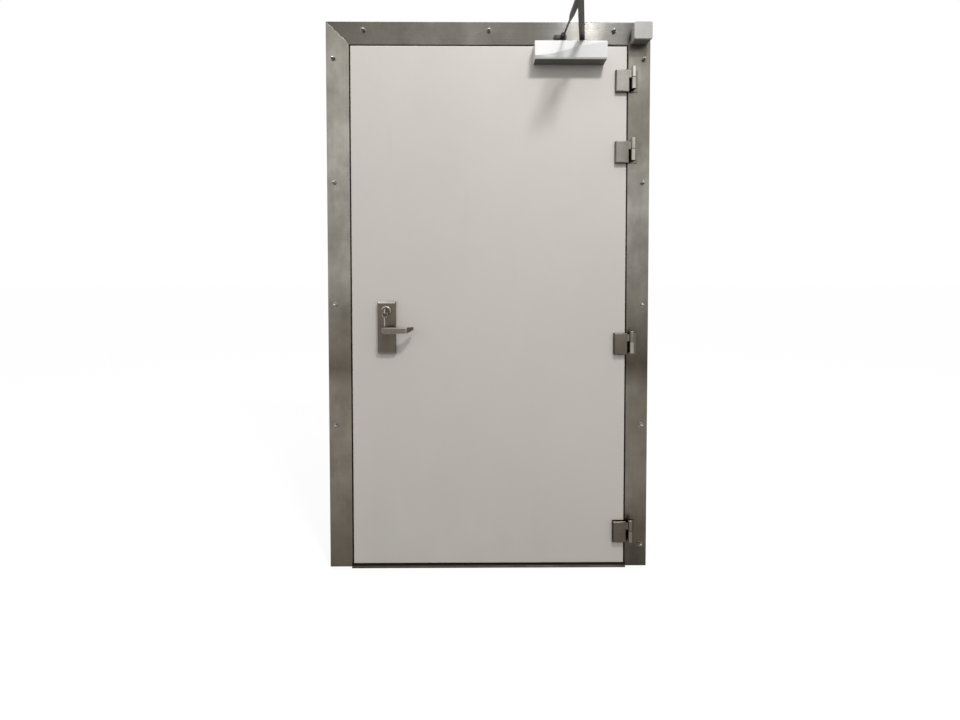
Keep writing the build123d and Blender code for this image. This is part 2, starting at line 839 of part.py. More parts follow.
spare_hole_z = ring_z - ring_radius - key_hole_radius + ring_wire_radius + ring_clearance
spare_bow_z = spare_hole_z - spare_bow_radius + key_hole_edge
spare_tip_z = spare_bow_z - spare_bow_radius - spare_blade
with BuildPart() as spare_key:
    with BuildSketch(Plane.YZ.offset(trim_x)):
        with Locations((key_hole_y, spare_bow_z)):
            RegularPolygon(spare_bow_radius, bow_sides)
        with Locations((key_hole_y, (spare_bow_z + spare_tip_z) / 2)):
            Rectangle(spare_blade_width, spare_bow_z - spare_tip_z)
        with Locations((key_hole_y, spare_hole_z)):
            Circle(key_hole_radius, mode=Mode.SUBTRACT)
        for notch in range(spare_notches):
            notch_z = spare_tip_z + spare_notch_pitch * (notch + 1)
            with Locations((key_hole_y + spare_blade_width / 2, notch_z)):
                RegularPolygon(spare_notch, 4, mode=Mode.SUBTRACT)
    extrude(amount=key_thickness / 2, both=True)
finish(spare_key, "spare_key")

# Junction box on the casing's top corner
box_x = -box_hinge_side + box_width / 2
box_z = opening_height + box_height / 2
with BuildPart() as junction_box:
    with BuildSketch(face_plane(face_y - box_base_depth)):
        with Locations((box_x, box_z)):
            RectangleRounded(box_width, box_height, box_corner)
    extrude(amount=-box_base_depth, taper=box_draft)
finish(junction_box, "junction_box")

with BuildPart() as junction_box_lid:
    with BuildSketch(face_plane(face_y - box_base_depth)):
        with Locations((box_x, box_z)):
            RectangleRounded(box_width, box_height, box_corner)
    extrude(amount=box_lid_depth)
    chamfer(junction_box_lid.faces().sort_by(Axis.Y)[0].edges(), box_lid_bevel)
finish(junction_box_lid, "junction_box_lid")
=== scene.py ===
"""Cold storage door: finishes, fasteners, seams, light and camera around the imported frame.

Everything is in metres, in the part's own frame: +Z up, the door's face looks along -Y.
"""

import math
import random
from collections import namedtuple

import bmesh
import bpy
from mathutils import Matrix, Vector


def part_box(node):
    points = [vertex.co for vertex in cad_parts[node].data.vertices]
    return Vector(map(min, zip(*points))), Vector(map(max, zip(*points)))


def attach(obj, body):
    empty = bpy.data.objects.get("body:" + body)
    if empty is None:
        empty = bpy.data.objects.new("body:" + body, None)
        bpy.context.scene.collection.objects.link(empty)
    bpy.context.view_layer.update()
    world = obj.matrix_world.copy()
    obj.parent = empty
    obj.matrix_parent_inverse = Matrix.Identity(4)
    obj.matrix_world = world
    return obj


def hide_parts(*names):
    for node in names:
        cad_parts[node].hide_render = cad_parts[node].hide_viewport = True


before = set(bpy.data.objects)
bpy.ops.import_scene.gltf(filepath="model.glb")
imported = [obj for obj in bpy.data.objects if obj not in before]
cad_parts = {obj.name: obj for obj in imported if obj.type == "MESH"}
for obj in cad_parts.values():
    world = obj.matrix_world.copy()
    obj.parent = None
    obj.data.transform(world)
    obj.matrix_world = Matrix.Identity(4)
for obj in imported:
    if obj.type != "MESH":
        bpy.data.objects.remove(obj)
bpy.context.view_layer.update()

# Camera, from the photograph's 960 by 720 frame
IMAGE_WIDTH = 960
IMAGE_HEIGHT = 720
FOCAL_PIXELS = 499.6
PRINCIPAL_X = 490.5
PRINCIPAL_Y = 281.8
CAMERA_PLACE = (-0.5922, -2.0800, 1.2487)
CAMERA_TILT = math.radians(1.660)
CAMERA_YAW = math.radians(0.404)
SENSOR_WIDTH = 36.0
CLIP_START = 0.05

# Light
AMBIENT = 0.95
KEY_ENERGY = 69.0
KEY_PLACE = (0.24, -2.15, 4.02)
KEY_AIM = (-0.55, 0.0, 1.40)
KEY_SIZE = (0.62, 0.30)
TOP_ENERGY = 6.0
TOP_PLACE = (-0.60, -0.75, 3.9)
TOP_AIM = (-0.60, -0.10, 1.2)
TOP_SIZE = (2.0, 0.25)
SHEEN_ENERGY = 36.0
SHEEN_PLACE = (0.315, -2.15, 4.02)
SHEEN_SIZE = (0.12, 0.30)
FLOOR_SIZE = 60.0
FLOOR_DROP = 0.0005
FLOOR_BOUNCE = 0.16
FLOOR_WHITE = 1.0
FLOOR_GLOW = 0.75

# Wall bolts: an acorn head on a washer
BOLT_LINE = 0.064
BOLT_ROWS = 5
LOWEST_BOLT = 0.092
TOP_BOLT_DROP = 0.056
HEAD_BOLT_LINE = 0.057
HEAD_BOLT_END = 0.059
BOLT_HEX = 0.0080
BOLT_HEX_HEIGHT = 0.0070
BOLT_DOME = 0.0066
BOLT_HEIGHT = 0.0150
WASHER_RADIUS = 0.0108
WASHER_HEIGHT = 0.0018
BOLT_BEVEL = 0.0004
BOLT_SIDES = 48
BOLT_DOME_STEPS = 7
HEX_SHARES = [1.0, 1.0, 0.15]
CROWN_FLAT = 0.05

# Mitre seams
SEAM_WIDTH = 0.0034
SEAM_HEIGHT = 0.0008
SEAM_STEPS = 70
SEAM_SECTIONS = 8
SEAM_END = 0.004
SEAM_TAPER = 8
SEAM_END_WIDTH = 0.3
SEAM_NARROW = 0.55
SEAM_SPREAD = 0.75
SEAM_WAVE = 0.35
SEAM_WAVE_RATE = 23
SEAM_JITTER = 0.25
SEAM_LOW = 0.6

# Small screws
SCREW_RADIUS = 0.0042
SCREW_DOME = 0.0016
SCREW_SIDES = 32
SCREW_DOME_STEPS = 6
SCREW_SINK = 0.0002
SCREW_INSET = 0.012
SHOE_SCREW_RADIUS = 0.0035
SHOE_SCREW_INSET = 0.008
SHOE_PLATE = 0.006
TRIM_SCREW_INSET = 0.022

# A screw's recess, as shares of its radius and of its dome's height
RECESS_RIM = (0.45, 0.86)
RECESS_FLOOR = (0.30, 0.30)

# Split ring: its inset and its spread in wire radii
RING_WIRE = 0.00050
RING_TURNS = 1.9
RING_POINTS = 64
RING_INSET = 2.4
RING_SPREAD = 2.2
RING_FINENESS = 4

# Leaf seal: width and overlap in metres, the rest in shares of its width or depth
SEAL_WIDTH = 0.022
SEAL_FLANGE = 0.22
SEAL_BULB_START = 0.16
SEAL_BULB_WIDTH = 0.68
SEAL_CORNER = 0.06
SEAL_RIM = 0.7
SEAL_CROWN = 0.97
SEAL_ROUNDNESS = 0.7
SEAL_OVERLAP = 0.0002
SEAL_STEPS = 12

# Tones and grain
BROWN_STAIN = (0.135, 0.112, 0.083)
DARK_PLATE = (1.0, 0.955, 0.890)
# Painted shade: the near black of the corner between a hinge's plate and its knuckle
CORNER_SHADE_COLOUR = (0.012, 0.011, 0.010)
# Painted highlight: the pale grey that the brightest bevels turn to
HIGHLIGHT_GREY = (0.490, 0.470, 0.432)
ENAMEL_DULL = (0.550, 0.525, 0.482)
ENAMEL_CLEAN = (0.575, 0.543, 0.500)
ENAMEL_AGED = (0.565, 0.540, 0.492)
ENAMEL_SCUFF = (0.40, 0.385, 0.35)
ENAMEL_SOIL = (0.34, 0.32, 0.28)
LACQUER = (0.73, 0.73, 0.72)
LACQUER_FLAKE = (0.67, 0.67, 0.66)
LACQUER_CLOUD = (0.62, 0.62, 0.60)
# The closer's underside: painted shade, in the dark colour of its casting
CASTING_AND_SHADE = (0.14, 0.135, 0.12)
RUBBER_BLACK = (0.012, 0.012, 0.012)
RUBBER_DUST = (0.045, 0.043, 0.040)
GRAIN_FINE = 620.0
GRAIN_LONG = 2.2

# Painted highlight and shade by the way a face looks: gains of tone on bevels that look up, sideways and down,
# and on faces that look up, down and aside
Edges = namedtuple("Edges", "up side down over under flank", defaults=[1.0] * 6)
NO_PAINTED_LIGHT = Edges()
LIP_PAINTED_LIGHT = Edges(down=1.5)
STRAP_PAINTED_LIGHT = Edges(up=1.9, side=0.8, down=0.35, over=0.45, under=0.3, flank=0.55)
FOOT_PAINTED_LIGHT = Edges(up=1.2, down=0.5, over=0.6, under=0.06, flank=0.22)
TRIM_PAINTED_LIGHT = Edges(up=3.7, side=1.3, down=2.0, under=0.4, flank=0.8)
LEVER_PAINTED_LIGHT = Edges(up=1.6, side=1.3, down=1.8, under=0.8)
LOCK_PAINTED_LIGHT = Edges(up=5.0, side=3.0, under=0.4, flank=0.8)

# How much of the normal looks to the front, up or aside where these gains start and are full
BEVEL_START = (0.30, 0.45)
BEVEL_END = (0.88, 0.97)
LEAN_SHARE = (0.2, 0.4)
LEVEL_SHARE = (0.80, 0.95)
FLANK_SHARE = (0.60, 0.95)

# Painted highlights and shade along an axis: (axis, start, end, gain at the start, gain at the end)
LEVER_RETURN = 0.024
LEVER_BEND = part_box("lever_outside")[1].x - LEVER_RETURN
# Painted highlight on the hinge straps' knuckles
KNUCKLE_HIGHLIGHT = ("X", -0.016, -0.009, 1.0, 1.60)
# Painted highlight on the front of the hinge feet, round their knuckles
FOOT_HIGHLIGHT = ("Y", -0.0300, -0.0340, 1.0, 2.2)
# Painted highlight at the lever's bend
BEND_HIGHLIGHT = ("X", LEVER_BEND - 0.005, LEVER_BEND - 0.002, 1.0, 1.60)
# Painted shade on the lever's return, past its bend
TIP_SHADE = ("X", LEVER_BEND, LEVER_BEND + 0.003, 1.0, 0.28)

# Painted shade in the corner between a hinge's plate and its knuckle: (axis, start, end)
FOOT_CORNER_SHADE = (("X", -0.0050, -0.0080), ("Y", -0.0380, -0.0300))


class Finish:
    """A node material on one Principled shader, textured in the part's own coordinates."""

    def __init__(self, name, metallic=0.0, specular=0.5):
        self.material = bpy.data.materials.new(name)
        self.material.use_nodes = True
        self.tree = self.material.node_tree
        self.shader = self.tree.nodes["Principled BSDF"]
        self.shader.inputs["Metallic"].default_value = metallic
        self.shader.inputs["Specular IOR Level"].default_value = specular
        self.place = self.node("ShaderNodeTexCoord").outputs["Object"]

    def node(self, kind):
        return self.tree.nodes.new(kind)

    def feed(self, source, socket):
        self.tree.links.new(source, socket)

    def noise(self, scale, detail=3.0, roughness=0.55, shift=(0.0, 0.0, 0.0)):
        """Noise from 0 to 1, with its own frequency along X, Y and Z."""
        mapping = self.node("ShaderNodeMapping")
        mapping.inputs["Scale"].default_value = scale
        mapping.inputs["Location"].default_value = shift
        self.feed(self.place, mapping.inputs["Vector"])
        texture = self.node("ShaderNodeTexNoise")
        texture.inputs["Scale"].default_value = 1.0
        texture.inputs["Detail"].default_value = detail
        texture.inputs["Roughness"].default_value = roughness
        self.feed(mapping.outputs["Vector"], texture.inputs["Vector"])
        return texture.outputs["Fac"]

    def cells(self, scale):
        """Distance to the nearest cell centre, for flakes and specks."""
        mapping = self.node("ShaderNodeMapping")
        mapping.inputs["Scale"].default_value = (scale, scale, scale)
        self.feed(self.place, mapping.inputs["Vector"])
        texture = self.node("ShaderNodeTexVoronoi")
        texture.inputs["Scale"].default_value = 1.0
        self.feed(mapping.outputs["Vector"], texture.inputs["Vector"])
        return texture.outputs["Distance"]

    def part(self, axis):
        """The place along one axis."""
        parts = self.node("ShaderNodeSeparateXYZ")
        self.feed(self.place, parts.inputs["Vector"])
        return parts.outputs[axis]

    def height(self, low, high):
        """0 at the low level and 1 at the high one, along Z."""
        return self.span(self.part("Z"), low, high, 0.0, 1.0)

    def span(self, source, low, high, to_low, to_high):
        """Map one range to another, without going past its ends."""
        scaled = self.node("ShaderNodeMapRange")
        scaled.inputs["From Min"].default_value = low
        scaled.inputs["From Max"].default_value = high
        scaled.inputs["To Min"].default_value = to_low
        scaled.inputs["To Max"].default_value = to_high
        self.feed(source, scaled.inputs["Value"])
        return scaled.outputs["Result"]

    def combine(self, operation, first, second):
        """Add, multiply or otherwise combine two values; either may be a number."""
        math_node = self.node("ShaderNodeMath")
        math_node.operation = operation
        for source, socket in zip((first, second), math_node.inputs):
            if isinstance(source, (int, float)):
                socket.default_value = source
            else:
                self.feed(source, socket)
        return math_node.outputs["Value"]

    def tones(self, factor, stops):
        """A colour ramp with (position, colour) stops."""
        ramp = self.node("ShaderNodeValToRGB")
        elements = ramp.color_ramp.elements
        while len(elements) < len(stops):
            elements.new(1.0)
        for element, (position, colour) in zip(elements, stops):
            element.position = position
            element.color = (*colour, 1.0)
        self.feed(factor, ramp.inputs["Fac"])
        return ramp.outputs["Color"]

    def blend(self, factor, first, second):
        """Mix two colours by a factor; either colour may be a plain tuple."""
        mix = self.node("ShaderNodeMix")
        mix.data_type = "RGBA"
        colour_inputs = [s for s in mix.inputs if s.type == "RGBA"]
        self.feed(factor, mix.inputs[0])
        for source, socket in zip((first, second), colour_inputs):
            if isinstance(source, tuple):
                socket.default_value = (*source, 1.0)
            else:
                self.feed(source, socket)
        return [s for s in mix.outputs if s.type == "RGBA"][0]

    def scaled(self, colour, factor):
        """A colour times a number."""
        scale = self.node("ShaderNodeVectorMath")
        scale.operation = "SCALE"
        self.feed(colour, scale.inputs[0])
        self.feed(factor, scale.inputs["Scale"])
        return scale.outputs["Vector"]

    def normal_part(self, axis):
        """One part of the surface's own normal, from -1 to 1."""
        coordinates = self.node("ShaderNodeTexCoord")
        parts = self.node("ShaderNodeSeparateXYZ")
        self.feed(coordinates.outputs["Normal"], parts.inputs["Vector"])
        return parts.outputs[axis]

    def painted_facing_light(self, edges):
        """Painted highlight and shade: 1 on faces square to the door, and the edges' gains on bevels and on
        faces that look elsewhere.
        """
        front = self.combine("ABSOLUTE", self.normal_part("Y"), 0.0)
        aside = self.combine("ABSOLUTE", self.normal_part("X"), 0.0)
        lean = self.normal_part("Z")
        rising = self.span(front, *BEVEL_START, 0.0, 1.0)
        falling = self.span(front, *BEVEL_END, 1.0, 0.0)
        slant = self.combine("MULTIPLY", rising, falling)
        lean_start, lean_full = LEAN_SHARE
        upper = self.span(lean, lean_start, lean_full, edges.side, edges.up)
        lower = self.span(lean, -lean_start, -lean_full, 0.0, edges.down - edges.side)
        gain = self.combine("ADD", upper, lower)
        total = self.combine("MULTIPLY", slant, self.combine("SUBTRACT", gain, 1.0))
        for source, way, (begin, full), tone in (
            (lean, 1, LEVEL_SHARE, edges.over),
            (lean, -1, LEVEL_SHARE, edges.under),
            (aside, 1, FLANK_SHARE, edges.flank),
        ):
            total = self.combine("ADD", total, self.span(source, way * begin, way * full, 0.0, tone - 1.0))
        return self.combine("ADD", total, 1.0)

    def corner_shade(self, *edges):
        """Mask of painted shade in a corner: 1 where the place is past every (axis, start, end) edge, 0 before
        any of them.
        """
        total = 1.0
        for axis, start, end in edges:
            total = self.combine("MULTIPLY", total, self.span(self.part(axis), start, end, 0.0, 1.0))
        return total

    def colour(self, source):
        self.feed(source, self.shader.inputs["Base Color"])

    def roughness(self, source):
        self.feed(source, self.shader.inputs["Roughness"])

    def bump(self, source, strength, distance):
        bump = self.node("ShaderNodeBump")
        bump.inputs["Strength"].default_value = strength
        bump.inputs["Distance"].default_value = distance
        self.feed(source, bump.inputs["Height"])
        self.feed(bump.outputs["Normal"], self.shader.inputs["Normal"])


def along(axis, long_scale, cross_scale):
    """Noise frequencies for a grain that runs along one axis."""
    return tuple(long_scale if name == axis else cross_scale for name in "XYZ")


def brushed_steel(name, axis, stops, rough, run=("Z", 0.0, 2.25), shift=0.0, stretch=0.6, edges=NO_PAINTED_LIGHT,
                  stain=0.0, painted_light_bands=(), corner_shade=(), sway=0.09, rim=1.0, highlight_colour=None):
    """Brushed stainless steel: grain along an axis, tone stops along a run, smudges, and painted highlight and
    shade.

    stain is the share of brown in its widest smudges. painted_light_bands are painted highlights and shade
    along an axis. corner_shade lists the edges of a corner of painted shade. sway is how far the tones wander
    along the run. rim is how much it mirrors at a glancing angle. highlight_colour is the colour of the
    painted highlight on its brightest bevels.
    """
    finish = Finish(name, metallic=1.0)
    offset = (shift, shift, shift)
    grain = finish.noise(along(axis, GRAIN_LONG, GRAIN_FINE), detail=5.0, roughness=0.7, shift=offset)
    wide_grain = finish.noise(along(axis, 0.9, 110.0), detail=3.0, shift=offset)
    bands = finish.noise(along(axis, 2.6, 0.9), detail=2.0, shift=offset)
    smudge = finish.noise((9.0, 9.0, 7.0), detail=5.0, roughness=0.62, shift=offset)
    run_axis, run_start, run_end = run
    level = finish.span(finish.part(run_axis), run_start, run_end, 0.0, 1.0)
    level = finish.combine("ADD", level, finish.span(bands, 0.3, 0.7, -sway, sway))
    colour = finish.tones(level, stops)
    shade = finish.combine("ADD", finish.span(grain, 0.25, 0.75, -0.07, 0.07), 1.0)
    shade = finish.combine("ADD", shade, finish.span(wide_grain, 0.25, 0.75, -0.05, 0.05))
    shade = finish.combine("ADD", shade, finish.span(smudge, 0.35, 0.70, 0.12, -0.22))
    # Painted highlight and shade on bevels and faces, by the way each looks
    if edges != NO_PAINTED_LIGHT:
        shade = finish.combine("MULTIPLY", shade, finish.painted_facing_light(edges))
    # Painted highlights and shade along an axis
    for lift_axis, start, end, start_gain, end_gain in painted_light_bands:
        gain = finish.span(finish.part(lift_axis), start, end, start_gain, end_gain)
        shade = finish.combine("MULTIPLY", shade, gain)
    colour = finish.scaled(colour, shade)
    # Painted highlight: the brightest bevels turn towards a pale grey
    if highlight_colour:
        colour = finish.blend(finish.span(shade, 1.8, 3.2, 0.0, 0.8), colour, highlight_colour)
    if stain:
        patch = finish.noise((7.0, 7.0, 4.5), detail=3.0, roughness=0.6, shift=(9.1, shift, 2.3))
        colour = finish.blend(finish.span(patch, 0.42, 0.66, 0.0, stain), colour, BROWN_STAIN)
    # Painted shade in a corner, near black
    if corner_shade:
        colour = finish.blend(finish.corner_shade(*corner_shade), colour, CORNER_SHADE_COLOUR)
    finish.colour(colour)
    rough_grain = finish.span(grain, 0.2, 0.8, rough - 0.07, rough + 0.09)
    finish.roughness(finish.combine("ADD", rough_grain, finish.span(smudge, 0.45, 0.75, 0.0, 0.14)))
    finish.shader.inputs["Anisotropic"].default_value = stretch
    finish.shader.inputs["Specular Tint"].default_value = (rim, rim, rim, 1.0)
    tangent = finish.node("ShaderNodeTangent")
    tangent.direction_type = "RADIAL"
    tangent.axis = "X" if axis == "X" else "Z"
    finish.feed(tangent.outputs["Tangent"], finish.shader.inputs["Tangent"])
    finish.bump(grain, 0.22, 0.00012)
    return finish.material


def leaf_paint():
    """Warm off-white stove enamel with a fine orange peel and faint handling marks."""
    finish = Finish("leaf_paint", specular=0.42)
    cloud = finish.noise((1.6, 1.6, 1.3), detail=4.0, roughness=0.6)
    patch = finish.noise((7.0, 7.0, 5.0), detail=3.0)
    colour = finish.tones(cloud, [(0.30, ENAMEL_DULL), (0.55, ENAMEL_CLEAN), (0.75, ENAMEL_AGED)])
    scuff = finish.noise((26.0, 26.0, 3.0), detail=6.0, roughness=0.7)
    mark = finish.combine("MULTIPLY", finish.span(scuff, 0.60, 0.72, 0.0, 0.10), patch)
    colour = finish.blend(mark, colour, ENAMEL_SCUFF)
    soil = finish.combine("MULTIPLY", finish.height(0.55, 0.0), finish.span(patch, 0.3, 0.7, 0.06, 0.16))
    finish.colour(finish.blend(soil, colour, ENAMEL_SOIL))
    peel = finish.noise((420.0, 420.0, 420.0), detail=2.0)
    finish.roughness(finish.span(patch, 0.3, 0.7, 0.36, 0.46))
    finish.bump(peel, 0.10, 0.00025)
    return finish.material


def silver_lacquer():
    """Silver lacquer with fine flakes on the closer: painted highlight on its lip, painted shade where it
    leans up, and painted shade in the casting's dark colour underneath.
    """
    finish = Finish("silver_lacquer", metallic=0.06, specular=0.24)
    flakes = finish.cells(1500.0)
    cloud = finish.noise((14.0, 14.0, 14.0), detail=3.0)
    colour = finish.tones(flakes, [(0.0, LACQUER), (0.6, LACQUER_FLAKE)])
    colour = finish.blend(finish.span(cloud, 0.4, 0.7, 0.0, 0.25), colour, LACQUER_CLOUD)
    # Painted highlight on the bevels that look down, along the lip
    colour = finish.scaled(colour, finish.painted_facing_light(LIP_PAINTED_LIGHT))
    # Painted shade on the facets that lean up
    colour = finish.scaled(colour, finish.span(finish.normal_part("Z"), 0.03, 0.20, 1.0, 0.845))
    # Painted shade on the faces that look down, in the casting's dark colour
    underside_shade = finish.span(finish.normal_part("Z"), -0.70, -0.90, 0.0, 1.0)
    finish.colour(finish.blend(underside_shade, colour, CASTING_AND_SHADE))
    finish.roughness(finish.span(cloud, 0.3, 0.7, 0.30, 0.42))
    finish.bump(flakes, 0.05, 0.0001)
    return finish.material


def dark_plate(name, depth=1.0):
    """Dark plated steel on the closer's arms, rubbed lighter in places."""
    finish = Finish(name, metallic=0.85)
    grain = finish.noise((380.0, 9.0, 380.0), detail=4.0)
    rub = finish.noise((30.0, 12.0, 30.0), detail=5.0, roughness=0.65)
    levels = (0.080, 0.145, 0.240)
    low, high, rubbed = [tuple(depth * level * part for part in DARK_PLATE) for level in levels]
    colour = finish.tones(grain, [(0.25, low), (0.75, high)])
    finish.colour(finish.blend(finish.span(rub, 0.55, 0.75, 0.0, 0.6), colour, rubbed))
    finish.roughness(finish.span(rub, 0.3, 0.7, 0.46, 0.32))
    finish.bump(grain, 0.12, 0.0001)
    return finish.material


def moulded_plastic(name, tone, rough, grain_scale, bump_strength, marks=0.25, under=0.0, cloud_depth=0.10):
    """Moulded plastic: fine spark texture with a faint unevenness of tone, and painted shade on its
    undersides.
    """
    finish = Finish(name, specular=0.45)
    spark = finish.noise((grain_scale, grain_scale, grain_scale), detail=3.0, roughness=0.6)
    cloud = finish.noise((11.0, 11.0, 11.0), detail=4.0, roughness=0.6)
    light = tuple(min(1.0, 1.05 * part) for part in tone)
    dark = tuple((1 - cloud_depth) * part for part in tone)
    colour = finish.tones(cloud, [(0.3, dark), (0.7, light)])
    colour = finish.blend(finish.span(spark, 0.5, 0.8, 0.0, marks), colour, dark)
    # Painted shade on the faces that look down
    if under:
        underside_shade = finish.span(finish.normal_part("Z"), -0.70, -0.95, 0.0, under)
        colour = finish.blend(underside_shade, colour, tuple(0.2 * part for part in tone))
    finish.colour(colour)
    finish.roughness(finish.span(spark, 0.3, 0.7, rough - 0.06, rough + 0.08))
    finish.bump(spark, bump_strength, 0.0003)
    return finish.material


def black_rubber():
    """Black rubber with a little grey bloom and dust."""
    finish = Finish("black_rubber", specular=0.3)
    dust = finish.noise((60.0, 60.0, 60.0), detail=6.0, roughness=0.7)
    colour = finish.tones(dust, [(0.40, RUBBER_BLACK), (0.75, RUBBER_DUST)])
    finish.colour(colour)
    finish.roughness(finish.span(dust, 0.3, 0.7, 0.55, 0.78))
    finish.bump(finish.noise((900.0, 900.0, 900.0), detail=2.0), 0.15, 0.0002)
    return finish.material


def bright_metal(name, low_tone, high_tone, rough, under=1.0, low=1.0):
    """Small bright metal with fine scratches, with painted shade where it looks down and towards the floor."""
    finish = Finish(name, metallic=1.0)
    scratch = finish.noise((300.0, 900.0, 90.0), detail=5.0, roughness=0.7)
    cloud = finish.noise((120.0, 120.0, 120.0), detail=4.0)
    colour = finish.tones(cloud, [(0.3, low_tone), (0.7, high_tone)])
    colour = finish.blend(finish.span(scratch, 0.55, 0.8, 0.0, 0.4), colour, low_tone)
    # Painted shade on the faces that look down
    if under != 1.0:
        colour = finish.scaled(colour, finish.span(finish.normal_part("Z"), 0.25, -0.45, 1.0, under))
    # Painted shade: darker towards the floor
    if low != 1.0:
        colour = finish.scaled(colour, finish.span(finish.part("Z"), 0.0, 1.4, low, 1.0))
    finish.colour(colour)
    finish.roughness(finish.span(scratch, 0.3, 0.7, rough - 0.06, rough + 0.12))
    finish.bump(scratch, 0.12, 0.00006)
    return finish.material


def steel_stops(*levels, cool=0.0):
    """Tone stops of steel from (position, level) pairs: brown where dark, greyer as it gets lighter."""
    stops = []
    for position, level in levels:
        green = min(0.98, 0.83 + 0.33 * level + 0.5 * cool)
        blue = min(0.95, 0.62 + 0.60 * level + cool)
        stops.append((position, (level, level * green, level * blue)))
    return stops


# Painted reflections and shade: the latch-side jamb's tone rises and falls with height
latch_painted_stops = steel_stops(
    (0.0, 0.085), (0.16, 0.185), (0.33, 0.210), (0.365, 0.105),
    (0.48, 0.240), (0.64, 0.390), (0.79, 0.380), (1.0, 0.320),
)
latch_jamb_steel = brushed_steel("latch_jamb_steel", "Z", latch_painted_stops, 0.34, stretch=0.5, stain=0.45,
                                 sway=0.02)
# Painted reflections and shade: the hinge-side jamb's tone rises and falls with height
hinge_side_painted_stops = steel_stops(
    (0.0, 0.062), (0.07, 0.075), (0.135, 0.170), (0.33, 0.160), (0.365, 0.066), (0.50, 0.190),
    (0.64, 0.390), (0.84, 0.225), (0.915, 0.340), (0.955, 0.170), (1.0, 0.130), cool=0.03,
)
hinge_jamb_steel = brushed_steel("hinge_jamb_steel", "Z", hinge_side_painted_stops, 0.34, shift=12.4, stretch=0.5,
                                 stain=0.45, sway=0.02)
head_low, head_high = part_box("casing_head")
# Painted reflections and shade along the head, with a greyer painted sheen towards the hinge side
head_painted_stops = steel_stops((0.0, 0.125), (0.15, 0.190), (0.45, 0.235), (0.60, 0.190), cool=0.06)
head_painted_stops += steel_stops((0.72, 0.155), (0.86, 0.095), (0.905, 0.170), (1.0, 0.090), cool=0.22)
head_steel = brushed_steel("head_steel", "X", head_painted_stops, 0.25, run=("X", head_low.x, head_high.x), shift=3.7,
                           stretch=0.90, stain=0.2, sway=0.04)
threshold_steel = brushed_steel("threshold_steel", "X", steel_stops((0.0, 0.060), (1.0, 0.090)), 0.44,
                                run=("Z", -0.01, 0.02), shift=8.1)
plate_steel = brushed_steel("plate_steel", "Z", steel_stops((0.0, 0.30), (1.0, 0.44)), 0.32, shift=5.3)
# Painted highlight and shade on the hinge straps: lighter towards the top, and on bevels, faces and knuckles
hinge_painted_stops = steel_stops(
    (0.0, 0.085), (0.40, 0.130), (0.74, 0.310), (0.80, 0.340), (0.88, 0.410), (1.0, 0.440),
)
hinge_steel = brushed_steel("hinge_steel", "Z", hinge_painted_stops, 0.33, shift=1.9, edges=STRAP_PAINTED_LIGHT,
                            painted_light_bands=[KNUCKLE_HIGHLIGHT], rim=0.5, sway=0.02)
# Painted highlight and shade on the hinge feet: lighter towards the top, on their knuckles and in their corner
foot_painted_stops = steel_stops((0.0, 0.085), (0.40, 0.110), (0.70, 0.220), (1.0, 0.240), cool=0.04)
foot_steel = brushed_steel("foot_steel", "Z", foot_painted_stops, 0.28, shift=4.4, edges=FOOT_PAINTED_LIGHT,
                           painted_light_bands=[FOOT_HIGHLIGHT], corner_shade=FOOT_CORNER_SHADE, rim=0.15)
# Painted highlight and shade on the trim's bevels and faces
trim_steel = brushed_steel("trim_steel", "Z", steel_stops((0.0, 0.122), (1.0, 0.130)), 0.33,
                           run=("Z", 0.86, 1.14), shift=6.4, edges=TRIM_PAINTED_LIGHT, highlight_colour=HIGHLIGHT_GREY)
# Painted highlight and shade on the lever's bevels, bend and return
lever_steel = brushed_steel("lever_steel", "X", steel_stops((0.0, 0.140), (1.0, 0.175)), 0.30,
                            run=("Z", 0.96, 1.03), shift=2.8, edges=LEVER_PAINTED_LIGHT,
                            painted_light_bands=[BEND_HIGHLIGHT, TIP_SHADE])
# Painted highlight on the lock's bevels
lock_steel = brushed_steel("lock_steel", "X", steel_stops((0.0, 0.09), (1.0, 0.17)), 0.22,
                           run=("Z", 1.04, 1.10), shift=7.7, edges=LOCK_PAINTED_LIGHT)
leaf_white = leaf_paint()
closer_silver = silver_lacquer()
arm_steel = dark_plate("dark_plate")
shoe_steel = dark_plate("shoe_plate", depth=0.45)
# The junction box: painted shade on its underside
box_plastic = moulded_plastic("box_plastic", (0.390, 0.378, 0.358), 0.52, 700.0, 0.12, under=0.7)
member_plastic = moulded_plastic("member_plastic", (0.56, 0.55, 0.525), 0.48, 500.0, 0.08, marks=0.12,
                                 cloud_depth=0.03)
core_plastic = moulded_plastic("core_plastic", (0.58, 0.565, 0.52), 0.50, 460.0, 0.10, marks=0.12,
                               cloud_depth=0.05)
rubber = black_rubber()
nickel = bright_metal("nickel", (0.42, 0.40, 0.36), (0.62, 0.60, 0.55), 0.26)
# The bolts: painted shade on their lower faces and towards the floor
bolt_zinc = bright_metal("bolt_zinc", (0.40, 0.385, 0.36), (0.66, 0.64, 0.60), 0.20, under=0.10, low=0.50)
weld_metal = bright_metal("weld_metal", (0.30, 0.29, 0.27), (0.60, 0.58, 0.54), 0.30)

